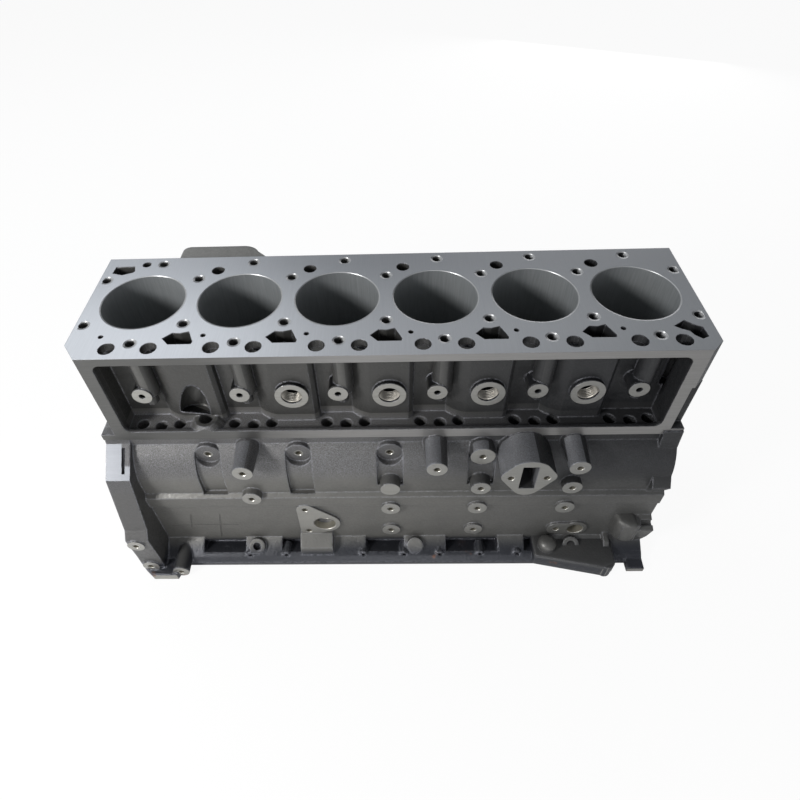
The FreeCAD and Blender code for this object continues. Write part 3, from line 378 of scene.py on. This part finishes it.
def casting_material():
    """Dark cast iron with sandy grain, and machined faces where the block was cut."""
    n = Nodes("cast_iron_and_cuts")

    # Where the tool has cut.
    faces_out = n.below(n.ny, -0.999)
    upright = n.below(n.size(n.nz), 0.3)
    inner = n.between(n.x, END_MARGIN, LENGTH - END_MARGIN)
    deck = n.all(n.above(n.nz, SQUARE), n.above(n.z, DECK - LARGE_REACH))
    flange, milled = milled_faces(n, faces_out)
    pad_front = n.below(n.x, n.blend(n.above(n.z, PAD_STEP), *PAD_ENDS))
    sloped_pad = n.all(pad_front, n.below(n.ny, -0.4), n.above(n.nz, 0.4), n.above(n.z, 0.13),
                       n.below(n.z, 0.175))
    from_bore = n.length(n.repeated(n.x, FIRST_BORE), n.y)
    bore_wall = n.all(upright, inner, n.below(from_bore, BORE_RADIUS + BORE_REACH),
                      n.above(n.z, BORE_LOW))
    crank_wall = n.below(n.length(n.y, n.z), MAIN_RADIUS + BORE_REACH)
    drilled, sunk, sunk_slope = drilled_holes(n, faces_out)
    rim, rim_slope = head_face_rims(n, deck, inner)
    # Painted highlight on the lit side of the bolt hole walls.
    bolt_wall_highlight = lit_bolt_hole_walls(n, upright)
    cut = n.any(deck, milled, sloped_pad, bore_wall, crank_wall, drilled)

    # Regions of the casting skin, among them masks of painted shade and painted highlight.
    neck = n.all(n.ramp(n.z, NECK_FROM, NECK_FULL), n.no(n.above(n.y, NECK_WALL)))
    chamber = n.all(n.above(n.y, CHAMBER_FRONT), n.between(n.z, CHAMBER_LOW, DECK - 0.001),
                    n.below(n.y, CHAMBER_BACK))
    # Painted shade on the walls inside the tappet chamber.
    chamber_wall_shade = n.all(chamber, n.above(n.z, CHAMBER_WALLS))
    sandy = n.any(n.times(neck, n.no(chamber)),
                  n.times(chamber, n.ramp(n.z, CHAMBER_WALLS, 0.189)))
    # Painted shade inside the coolant openings, full on their floors.
    opening_shade = n.all(n.between(n.y, -OPENINGS_HALF, OPENINGS_HALF), n.above(n.z, CHAMBER_WALLS),
                     n.between(n.x, OPENINGS_MARGIN, LENGTH - OPENINGS_MARGIN))
    front_edge = n.all(n.ramp(n.x, 0.036, 0.030), n.below(n.y, -0.1))
    # Painted shade: skin, milled faces and head face grow darker towards the rear end, where the
    # light falls off.
    falloff_shade = n.ramp(n.x, 0.34, 0.72)
    barrel_highlight = lit_barrel_sides(n)
    # Painted shade on the neck, darker towards the rear end where the light falls off; the lit
    # barrels are spared.
    neck_falloff_shade = n.all(n.ramp(n.x, 0.28, 0.66), n.ramp(n.z, 0.06, 0.125), n.no(barrel_highlight))
    low = n.ramp(n.z, -0.028, -0.042)
    marks = cross_marks(n)

    # The casting skin: grain, larger waves, cleaner skin low on the walls, and painted shade and
    # highlights.
    grain = n.noise(1000, 3, 0.65)
    coarse = n.noise(300, 2, 0.5)
    waves = n.noise(24, 3, 0.5)
    speckle = n.ramp(grain, 0.44, 0.62)
    pits = n.ramp(grain, 0.42, 0.32)
    soft, edge = n.rounded(n.blend(cut, n.blend(low, 0.0032, 0.0055), 0.0007))
    # Rounded edges that face up are lighter: partly worn skin, partly a painted highlight on the
    # fillets, weaker towards the rear.
    wear_and_highlight = n.all(edge, n.above(n.nz, -0.2), n.ramp(coarse, 0.3, 0.6))
    skin = n.mix(waves, linear(92, 92, 90), linear(108, 107, 104))
    skin = n.tint(skin, n.times(speckle, sandy), 0.65, linear(152, 152, 159))
    skin = n.tint(skin, pits, n.blend(sandy, 0.15, 0.6), linear(40, 41, 43))
    # Painted shade on the walls inside the tappet chamber.
    skin = n.tint(skin, chamber_wall_shade, 0.45, linear(62, 62, 62))
    skin = n.tint(skin, n.all(neck, n.below(n.y, NECK_WALL)), 0.38, linear(50, 50, 52))
    # Painted shade inside the coolant openings.
    skin = n.tint(skin, opening_shade, n.blend(n.above(n.nz, 0.5), 0.45, 1.0), linear(20, 20, 21))
    skin = n.tint(skin, front_edge, 0.6, linear(66, 66, 69))
    # Painted shade on the skin towards the rear end.
    skin = n.tint(skin, falloff_shade, 0.4, linear(56, 58, 61))
    # Painted shade on the far part of the neck.
    skin = n.tint(skin, neck_falloff_shade, 0.8, linear(34, 35, 38))
    # Painted highlight on the sides of the barrels that face the light.
    skin = n.tint(skin, barrel_highlight, n.blend(speckle, 0.4, 0.75), linear(134, 136, 142))
    skin = n.tint(skin, low, 0.85, linear(38, 41, 50))
    # Worn skin and painted highlight on the rounded edges.
    skin = n.tint(skin, wear_and_highlight, n.blend(falloff_shade, 0.5, 0.28), linear(168, 170, 180))
    skin = n.tint(skin, marks, 0.4, linear(58, 58, 58))

    # Milled faces have streaks along the block, the head face a fine cross lay.
    streaks = n.noise(60, 4, 0.6, (0.25, 1, 9))
    milled_colour = n.mix(streaks, linear(136, 135, 131), linear(164, 163, 159))
    # Painted shade on the milled faces towards the rear end.
    milled_colour = n.tint(milled_colour, falloff_shade, 0.5, linear(112, 113, 112))
    # Painted shade and reflection: the milled flange is a dark copy near the front and a light
    # copy further back.
    flange_lit_and_shaded = n.mix(n.ramp(n.x, 0.12, 0.36),
                          n.mix(streaks, linear(80, 80, 79), linear(96, 96, 95)),
                          n.mix(streaks, linear(128, 127, 126), linear(152, 151, 150)))
    milled_colour = n.mix(flange, milled_colour, flange_lit_and_shaded)
    lay = n.noise(90, 3, 0.6, (8, 0.2, 1))
    deck_colour = n.mix(lay, linear(160, 163, 168), linear(176, 179, 184))
    # Painted shade: the head face darker towards the rear end and towards its back side.
    deck_colour = n.tint(deck_colour, falloff_shade, 0.6, linear(126, 129, 132))
    deck_colour = n.tint(deck_colour, n.ramp(n.y, -0.08, 0.1), 0.55, linear(104, 107, 112))
    # Painted shade: the sloped pad is darker than the other milled faces, against the key light
    # that it faces.
    pad_shaded_colour = n.mix(streaks, linear(84, 87, 93), linear(98, 101, 107))
    honing = n.noise(500, 2, 0.5, (1, 1, 0.06))
    bore_colour = n.mix(honing, linear(120, 124, 126), linear(146, 149, 151))

    # Freckles of rust low on the pan rail.
    rust = n.all(n.ramp(n.noise(38, 2, 0.5), 0.68, 0.75), n.below(n.z, PAN + 0.02))

    colour = n.mix(milled, skin, milled_colour)
    # Painted shade on the sloped pad.
    colour = n.mix(sloped_pad, colour, pad_shaded_colour)
    colour = n.mix(deck, colour, deck_colour)
    # Cut chamfers of the head face, and a painted highlight on the lit side of the bolt hole
    # walls.
    colour = n.mix(n.any(rim, bolt_wall_highlight), colour, linear(184, 186, 188))
    colour = n.mix(n.any(bore_wall, crank_wall), colour, bore_colour)
    colour = n.mix(drilled, colour, linear(176, 172, 160))
    colour = n.mix(sunk, colour, linear(190, 189, 184))
    colour = n.tint(colour, rust, 0.6, linear(122, 78, 54))

    skin_rough = n.ramp(coarse, 0.3, 0.7, n.blend(low, 0.38, 0.28), n.blend(low, 0.52, 0.42))
    rough = n.blend(cut, skin_rough, 0.38)
    metallic = n.blend(cut, 0.45, n.blend(n.any(deck, bore_wall, sloped_pad), 0.8, 0.35))
    grit = n.times(grain, n.blend(sandy, 0.3, 1.1))
    height = n.plus(grit, n.plus(n.times(coarse, 0.7), n.times(waves, 2.5)))
    height = n.minus(n.times(height, n.no(cut)), n.times(marks, 1.5))
    height = n.plus(height, n.times(streaks, milled, 0.25))
    return n.finish(colour, rough, metallic, height, bump=0.5, distance=0.0009, normal=soft,
                    tilts=((rim, *rim_slope), (sunk, *sunk_slope)))


def cap_material():
    """Cast caps with cut ends."""
    n = Nodes("cap_iron")
    grain = n.noise(700, 3, 0.6)
    cut = n.any(n.above(n.size(n.nx), SQUARE), n.above(n.nz, SQUARE))
    colour = n.mix(grain, linear(70, 70, 72), linear(98, 98, 98))
    colour = n.mix(cut, colour, linear(130, 130, 130))
    rough = n.blend(cut, 0.55, 0.36)
    metallic = n.blend(cut, 0.35, 0.85)
    return n.finish(colour, rough, metallic, grain, bump=0.35, distance=0.0006,
                    normal=n.rounded(0.0015)[0])


def bolt_material():
    """Dark oxide on forged bolts."""
    n = Nodes("dark_oxide_steel")
    wear = n.noise(300, 3, 0.6)
    colour = n.mix(wear, linear(44, 44, 46), linear(78, 77, 75))
    rough = n.ramp(wear, 0.3, 0.7, 0.3, 0.48)
    return n.finish(colour, rough, 0.8, wear, bump=0.15, distance=0.0004,
                    normal=n.rounded(0.0008)[0])


def bushing_material():
    """Turned steel with fine rings round the camshaft axis."""
    n = Nodes("turned_bushing")
    rings = n.noise(1400, 2, 0.5, (1, 0.05, 0.05))
    colour = n.mix(rings, linear(140, 136, 128), linear(176, 171, 162))
    return n.finish(colour, 0.3, 0.9, rings, bump=0.1, distance=0.0003,
                    normal=n.rounded(0.0004)[0])


def plug_material():
    """Pressed steel cups with a yellow zinc finish."""
    n = Nodes("zinc_plated_cup")
    cloud = n.noise(70, 3, 0.6)
    colour = n.mix(cloud, linear(160, 150, 118), linear(186, 176, 142))
    rough = n.ramp(cloud, 0.3, 0.7, 0.28, 0.42)
    return n.finish(colour, rough, 0.9, cloud, bump=0.1, distance=0.0005,
                    normal=n.rounded(0.0008)[0])


def thread_material():
    """Bright cut thread flanks."""
    n = Nodes("cut_thread")
    wear = n.noise(400, 2, 0.5)
    colour = n.mix(wear, linear(150, 146, 138), linear(186, 182, 174))
    return n.finish(colour, 0.3, 0.85, wear, bump=0.1, distance=0.0003,
                    normal=n.rounded(0.0003)[0])


def dress(obj, material):
    obj.data.materials.clear()
    obj.data.materials.append(material)


casting = casting_material()
DRESSES = {
    "cylinder_block": casting,
    "main_bearing_cap": cap_material(),
    "main_cap_bolts": bolt_material(),
    "camshaft_bushing": bushing_material(),
}
plugs = plug_material()
for name, obj in nodes.items():
    dress(obj, next((DRESSES[start] for start in DRESSES if name.startswith(start)), plugs))


def new_mesh(name, points, faces):
    mesh = bpy.data.meshes.new(name)
    mesh.from_pydata(points, [], faces)
    mesh.update()
    return mesh


def add_piece(name, mesh, material, place=(0, 0, 0)):
    """A piece that only the scene has, on the block's body."""
    obj = bpy.data.objects.new(name, mesh)
    obj.location = place
    bpy.context.scene.collection.objects.link(obj)
    dress(obj, material)
    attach(obj, "root")


def thread(name, place, radius, depth, pitch, turns, steps=40):
    """A ridge that winds along +Y from place on the wall of a round port."""
    root = radius + 0.0002
    ring = ((root, 0), (radius - depth, pitch * 0.45), (root, pitch * 0.9))
    points = []
    faces = [(0, 1, 2)]
    for k in range(steps * turns + 1):
        angle = 2 * math.pi * k / steps
        along = pitch * k / steps
        for reach, shift in ring:
            points.append((reach * math.cos(angle), along + shift, reach * math.sin(angle)))
        if k:
            a, b = 3 * (k - 1), 3 * k
            faces += [(a, b, b + 1, a + 1), (a + 1, b + 1, b + 2, a + 2), (a + 2, b + 2, b, a)]
    faces.append((len(points) - 1, len(points) - 2, len(points) - 3))
    add_piece(name, new_mesh(name, points, faces), thread_metal, place)


def turned(name, rings, place, tip=0.0, steps=32):
    """A closed body turned from (radius, height) rings, its axis tipped from +Z about X."""
    points = [(0, 0, rings[0][1])]
    for radius, height in rings:
        for k in range(steps):
            angle = 2 * math.pi * k / steps
            points.append((radius * math.cos(angle), radius * math.sin(angle), height))
    points.append((0, 0, rings[-1][1]))
    last = 1 + (len(rings) - 1) * steps
    faces = []
    for k in range(steps):
        after = (k + 1) % steps
        faces.append((0, 1 + after, 1 + k))
        for ring in range(len(rings) - 1):
            a, b = 1 + ring * steps, 1 + (ring + 1) * steps
            faces.append((a + k, a + after, b + after, b + k))
        faces.append((last + k, last + after, len(points) - 1))
    mesh = new_mesh(name, points, faces)
    mesh.transform(Matrix.Translation(place) @ Matrix.Rotation(tip, 4, "X"))
    mesh.shade_smooth()
    add_piece(name, mesh, casting)


def softened(name, outline, low, high, radius):
    """An upright prism over an outline of (x, y), its edges rounded."""
    count = len(outline)
    points = [(x, y, low) for x, y in outline] + [(x, y, high) for x, y in outline]
    sides = [(k, (k + 1) % count, count + (k + 1) % count, count + k) for k in range(count)]
    faces = [tuple(reversed(range(count))), tuple(range(count, 2 * count))] + sides
    mesh = new_mesh(name, points, faces)
    shape = bmesh.new()
    shape.from_mesh(mesh)
    bmesh.ops.recalc_face_normals(shape, faces=shape.faces)
    bmesh.ops.bevel(shape, geom=list(shape.edges), offset=radius, segments=5, profile=0.5,
                    affect="EDGES", clamp_overlap=True)
    shape.to_mesh(mesh)
    shape.free()
    mesh.shade_smooth()
    add_piece(name, mesh, casting)


# Threads in the four ports of the tappet chamber: the ports' place between the bores, the Y where
# the ridge begins, their drop below the head face, and the ridge's own sizes.
PORT_SHIFT = 0.062
PORT_START = -0.0868
PORT_DROP = 0.0826
THREAD = {"radius": 0.013, "depth": 0.0014, "pitch": 0.0026, "turns": 6}
thread_metal = thread_material()
for number in range(1, 5):
    port = (FIRST_BORE + PITCH * number + PORT_SHIFT, PORT_START, DECK - PORT_DROP)
    thread(f"port_thread_{number}", port, **THREAD)

# The domed top of the barrel at the rear of the pan rail.
DOME_RADIUS, DOME_HEIGHT = 0.0131, 0.009
DOME = [(DOME_RADIUS * math.cos(a), DOME_HEIGHT * math.sin(a))
        for a in (0, 0.25, 0.5, 0.75, 1.0, 1.2, 1.4)]
turned("barrel_dome", [(DOME_RADIUS, -0.002)] + DOME, (0.600, -0.144, -0.026))

# Rounded skins of the housing and the lug at the rear of the pan rail.
HOUSING = [(0.580, -0.125), (0.580, -0.1605), (0.677, -0.180), (0.6945, -0.1735), (0.698, -0.125)]
LUG = [(0.686, -0.115), (0.6915, -0.1425), (0.7035, -0.1495), (0.7185, -0.1495), (0.7185, -0.115)]
softened("rear_housing_skin", HOUSING, PAN + 0.0006, -0.0335, 0.004)
softened("rear_lug_skin", LUG, -0.0165, 0.0285, 0.007)

# The drilled bottom of the large hole in the corner flange.
HOLE_BOTTOM = [(0.0156, -0.003), (0.0156, 0.0), (0.009, -0.002)]
turned("corner_hole_bottom", HOLE_BOTTOM, (FLANGE_HOLE[0], -0.1215, FLANGE_HOLE[1]), math.pi / 2)


def area_light(name, place, target, size, power, colour=(1, 1, 1)):
    data = bpy.data.lights.new(name, "AREA")
    data.shape = "DISK"
    data.size = size
    data.energy = power
    data.color = colour
    obj = bpy.data.objects.new(name, data)
    obj.location = place
    obj.rotation_euler = (Vector(target) - Vector(place)).to_track_quat("-Z", "Y").to_euler()
    bpy.context.scene.collection.objects.link(obj)


MIDDLE = (LENGTH / 2, 0, (DECK + PAN) / 2)
area_light("key", (-0.8, -0.95, 0.95), (0.25, -0.1, 0.15), 0.4, 22, (1, 0.99, 0.97))
area_light("front_fill", (0.35, -2.0, 0.5), MIDDLE, 1.2, 10)
area_light("back_left", (-0.8, 1.3, 1.8), MIDDLE, 1.6, 17, (0.94, 0.97, 1))
area_light("back_fill", (1.2, 1.9, 0.6), MIDDLE, 1.6, 10)


def white_surround():
    """A world that the camera sees as white and that lights the block softly."""
    world = bpy.data.worlds.new("surround")
    bpy.context.scene.world = world
    world.use_nodes = True
    tree = world.node_tree
    tree.nodes.clear()
    paths = tree.nodes.new("ShaderNodeLightPath")
    seen = tree.nodes.new("ShaderNodeMath")
    seen.operation = "MAXIMUM"
    soft = tree.nodes.new("ShaderNodeBackground")
    soft.inputs["Color"].default_value = (0.95, 0.97, 1, 1)
    soft.inputs["Strength"].default_value = 0.3
    white = tree.nodes.new("ShaderNodeBackground")
    white.inputs["Color"].default_value = (1, 1, 1, 1)
    mixer = tree.nodes.new("ShaderNodeMixShader")
    output = tree.nodes.new("ShaderNodeOutputWorld")
    tree.links.new(paths.outputs["Is Camera Ray"], seen.inputs[0])
    tree.links.new(paths.outputs["Is Transmission Ray"], seen.inputs[1])
    tree.links.new(seen.outputs[0], mixer.inputs[0])
    tree.links.new(soft.outputs[0], mixer.inputs[1])
    tree.links.new(white.outputs[0], mixer.inputs[2])
    tree.links.new(mixer.outputs[0], output.inputs[0])


def floor_material():
    """A pale floor that takes shadows and looks nearly white to the camera."""
    material = bpy.data.materials.new("pale_floor")
    material.use_nodes = True
    tree = material.node_tree
    shader = tree.nodes["Principled BSDF"]
    shader.inputs["Base Color"].default_value = (0.9, 0.9, 0.9, 1)
    shader.inputs["Roughness"].default_value = 0.9
    glow = tree.nodes.new("ShaderNodeEmission")
    paths = tree.nodes.new("ShaderNodeLightPath")
    share = tree.nodes.new("ShaderNodeMath")
    share.operation = "MULTIPLY"
    share.inputs[1].default_value = 0.93
    mixer = tree.nodes.new("ShaderNodeMixShader")
    tree.links.new(paths.outputs["Is Camera Ray"], share.inputs[0])
    tree.links.new(share.outputs[0], mixer.inputs[0])
    tree.links.new(shader.outputs[0], mixer.inputs[1])
    tree.links.new(glow.outputs[0], mixer.inputs[2])
    tree.links.new(mixer.outputs[0], tree.nodes["Material Output"].inputs["Surface"])
    return material


white_surround()
bpy.ops.mesh.primitive_plane_add(size=12, location=(LENGTH / 2, 0, PAN - 0.0005))
floor = bpy.context.object
floor.name = "floor"
dress(floor, floor_material())

# The photograph's camera: its place and axes in the row frame, its lens in mm, and its shift as a
# share of the picture's width.
CAMERA_PLACE = Vector((0.3765, -0.5664, 0.7725))
CAMERA_AIM = Vector((-0.03, 0.6872, -0.7258))
CAMERA_RIGHT = Vector((0.9994, 0.0102, -0.0317))
camera_data = bpy.data.cameras.new("camera")
camera_data.sensor_width = 36
camera_data.lens = 26.4
camera_data.shift_x = 0.031
camera_data.shift_y = -0.024
camera = bpy.data.objects.new("camera", camera_data)
up = CAMERA_RIGHT.cross(CAMERA_AIM).normalized()
axes = Matrix((CAMERA_RIGHT, up, -CAMERA_AIM)).transposed()
camera.matrix_world = Matrix.Translation(CAMERA_PLACE) @ axes.to_4x4()
bpy.context.scene.collection.objects.link(camera)
bpy.context.scene.camera = camera
bpy.context.scene.view_settings.view_transform = "Standard"
